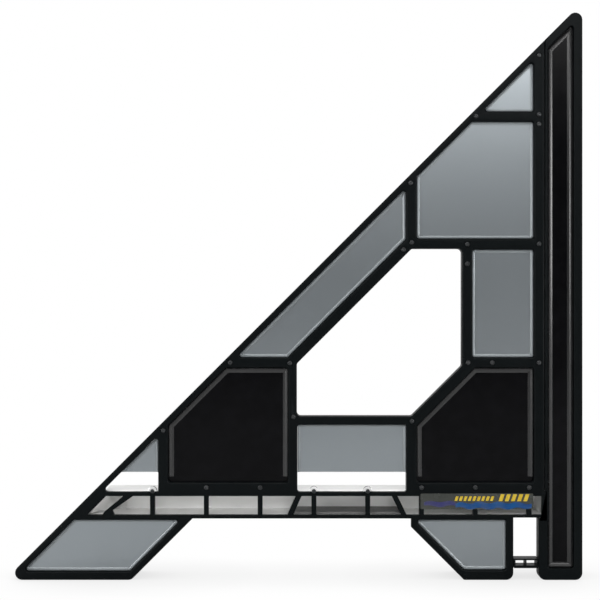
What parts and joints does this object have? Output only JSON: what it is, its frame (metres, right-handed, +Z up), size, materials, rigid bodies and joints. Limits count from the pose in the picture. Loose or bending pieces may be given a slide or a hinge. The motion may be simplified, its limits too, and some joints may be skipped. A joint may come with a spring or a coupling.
{
  "type": "speed square",
  "caption": "Right-angled 45 degree saw-guide square with a ribbed frame, grey infill panes, hand hole, deep fence, sight slots and two legs",
  "frame": {"origin": "on the floor under the middle of the bounding box, with the square standing on its legs and rail foot", "axes": "+X along the fence towards the guide rail, +Z up the rail, ribbed front face towards -Y"},
  "size_m": [0.3164, 0.024, 0.3164],
  "materials": {
    "black_frame": "satin, moulded",
    "gloss_black": "gloss",
    "pane": "satin grey",
    "aluminium": "brushed",
    "liner": "matt",
    "label": "printed film",
    "rivet": "plain"
  },
  "bodies": {
    "root": {"lattice_front": "black_frame", "lattice_back": "black_frame", "left_leg_base": "black_frame", "right_leg_base": "black_frame", "guide_rail": "black_frame", "foot_link": "black_frame", "rail_channel_strip": "gloss_black", "grip_panel_left": "gloss_black", "grip_panel_right": "gloss_black", "fence_channel": "aluminium", "fence_end_wedge": "aluminium", "fence_mid_liner": "liner", "label_plate": "label", "pane_apex": "pane", "pane_upper": "pane", "pane_side": "pane", "pane_diagonal": "pane", "pane_middle": "pane", "pane_left_corner": "pane", "pane_left_leg": "pane", "pane_right_leg": "pane", "lattice_rivet_01": "rivet", "lattice_rivet_02": "rivet", "lattice_rivet_03": "rivet", "lattice_rivet_04": "rivet", "lattice_rivet_05": "rivet", "lattice_rivet_06": "rivet", "lattice_rivet_07": "rivet", "lattice_rivet_08": "rivet", "lattice_rivet_09": "rivet", "lattice_rivet_10": "rivet", "lattice_rivet_11": "rivet", "lattice_rivet_12": "rivet", "lattice_rivet_13": "rivet", "lattice_rivet_14": "rivet", "lattice_rivet_15": "rivet", "lattice_rivet_16": "rivet", "lattice_rivet_17": "rivet", "lattice_rivet_18": "rivet", "fence_rivet_1": "rivet", "fence_rivet_2": "rivet", "fence_rivet_3": "rivet", "fence_rivet_4": "rivet", "fence_rivet_5": "rivet", "fence_rivet_6": "rivet", "fence_rivet_7": "rivet", "fence_rivet_8": "rivet"}
  },
  "joints": []
}
